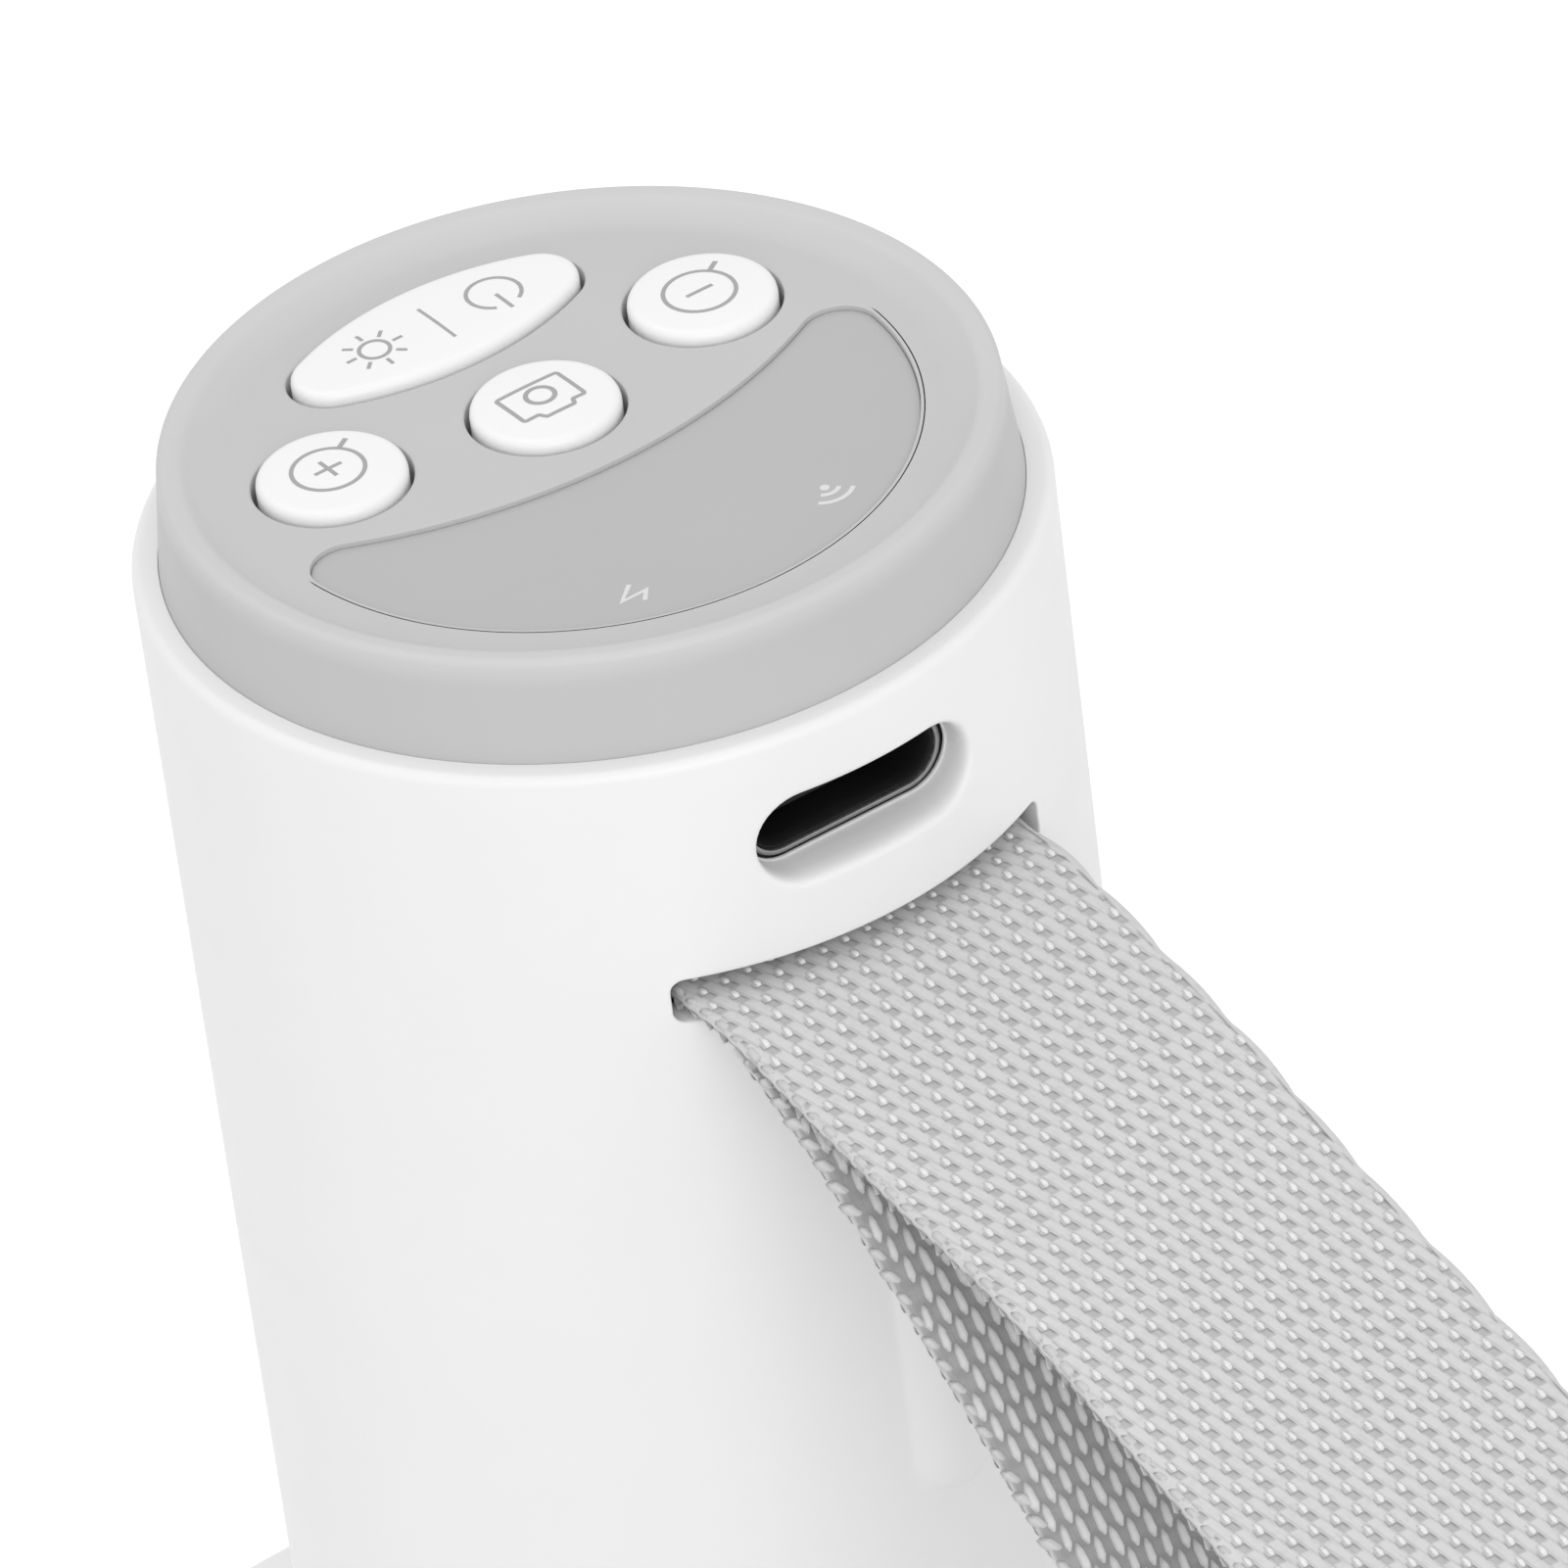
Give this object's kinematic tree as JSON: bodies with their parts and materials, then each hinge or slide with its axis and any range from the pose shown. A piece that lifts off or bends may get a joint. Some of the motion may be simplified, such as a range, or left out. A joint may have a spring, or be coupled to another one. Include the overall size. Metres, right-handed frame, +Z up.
{
  "type": "handheld digital microscope",
  "caption": "Cylindrical handheld digital microscope with a keypad on top, a port and wrist strap on its side, a focus ring and clear hood below, standing in a round foot.",
  "frame": {"origin": "centre of the round foot's flat bottom", "axes": "+Z up along the microscope's axis, -Y towards the side with the port and the strap, +X towards the zoom-out key"},
  "size_m": [0.074, 0.1518, 0.0807],
  "materials": {
    "white_plastic": "fine satin",
    "key_plastic": "satin",
    "cap_plastic": "fine matt grain",
    "panel_plastic": "satin",
    "ring_plastic": "matt",
    "clear_plastic": "clear and polished",
    "milky_plastic": "milky",
    "lens_glass": "polished",
    "black_plastic": "satin",
    "inner_plastic": "matt",
    "board_laminate": "lacquered",
    "chip_resin": "matt",
    "tinned_steel": "bright",
    "screw_steel": "zinc plated",
    "barrel_aluminium": "black anodised",
    "pad_rubber": "matt",
    "cell_film": "foil",
    "ribbon_film": "smooth film",
    "strap_webbing": "flat woven",
    "stage_plastic": "matt"
  },
  "bodies": {
    "foot": {"foot_disc": "white_plastic", "foot_pad": "pad_rubber", "stage_plate": "stage_plastic"},
    "microscope": {"clear_hood": "clear_plastic", "nose_ring": "white_plastic", "nose_frame": "inner_plastic", "lamp_board": "board_laminate", "ring_lamp_1": "milky_plastic", "ring_lamp_2": "milky_plastic", "ring_lamp_3": "milky_plastic", "ring_lamp_4": "milky_plastic", "ring_lamp_5": "milky_plastic", "ring_lamp_6": "milky_plastic", "ring_lamp_7": "milky_plastic", "ring_lamp_8": "milky_plastic", "body_shell": "white_plastic", "top_cap": "cap_plastic", "indicator_panel": "panel_plastic", "light_guide_1": "milky_plastic", "light_guide_2": "milky_plastic", "key_board": "board_laminate", "key_switch_1": "black_plastic", "key_switch_2": "black_plastic", "key_switch_3": "black_plastic", "key_switch_4": "black_plastic", "indicator_lamp_1": "milky_plastic", "indicator_lamp_2": "milky_plastic", "port_shell": "tinned_steel", "port_core": "black_plastic", "chassis": "inner_plastic", "main_board": "board_laminate", "image_processor": "chip_resin", "radio_module": "tinned_steel", "battery_cell": "cell_film", "sensor_ribbon": "ribbon_film", "key_ribbon": "ribbon_film", "sensor_board": "board_laminate", "image_sensor": "chip_resin", "nose_screw_1": "screw_steel", "nose_screw_2": "screw_steel", "nose_screw_3": "screw_steel", "cap_screw_1": "screw_steel", "cap_screw_2": "screw_steel", "cap_screw_3": "screw_steel", "cap_screw_4": "screw_steel", "board_screw_1": "screw_steel", "board_screw_2": "screw_steel", "wrist_strap": "strap_webbing", "strap_pin": "screw_steel"},
    "focus_collar": {"focus_ring": "ring_plastic"},
    "lens_carrier": {"lens_barrel": "barrel_aluminium", "front_lens": "lens_glass", "rear_lens": "lens_glass", "lens_retainer": "black_plastic"},
    "zoom_in_button": {"zoom_in_key": "key_plastic"},
    "zoom_out_button": {"zoom_out_key": "key_plastic"},
    "shutter_button": {"shutter_key": "key_plastic"},
    "light_button": {"light_key": "key_plastic"}
  },
  "joints": [
    {"name": "lift_off", "type": "slide", "parent": "foot", "child": "microscope", "axis": [0, 0, 1], "range_m": [0, 0.06]},
    {"name": "focus_turn", "type": "hinge", "parent": "microscope", "child": "focus_collar", "pos_m": [0, 0, 0.0123], "axis": [0, 0, 1], "range_deg": [-150, 150]},
    {"name": "lens_travel", "type": "slide", "parent": "microscope", "child": "lens_carrier", "axis": [0, 0, 1], "range_m": [-0.0025, 0.0025]},
    {"name": "zoom_in_press", "type": "slide", "parent": "microscope", "child": "zoom_in_button", "axis": [0, 0, -1], "range_m": [0, 0.0004], "stiffness_N_per_m": 300, "springref_m": -0.003},
    {"name": "zoom_out_press", "type": "slide", "parent": "microscope", "child": "zoom_out_button", "axis": [0, 0, -1], "range_m": [0, 0.0004], "stiffness_N_per_m": 300, "springref_m": -0.003},
    {"name": "shutter_press", "type": "slide", "parent": "microscope", "child": "shutter_button", "axis": [0, 0, -1], "range_m": [0, 0.0004], "stiffness_N_per_m": 300, "springref_m": -0.003},
    {"name": "light_press", "type": "slide", "parent": "microscope", "child": "light_button", "axis": [0, 0, -1], "range_m": [0, 0.0004], "stiffness_N_per_m": 300, "springref_m": -0.003}
  ],
  "couplings": [
    {"joint": "lens_travel", "follows": "focus_turn", "m_per_rad": 0.00095}
  ]
}
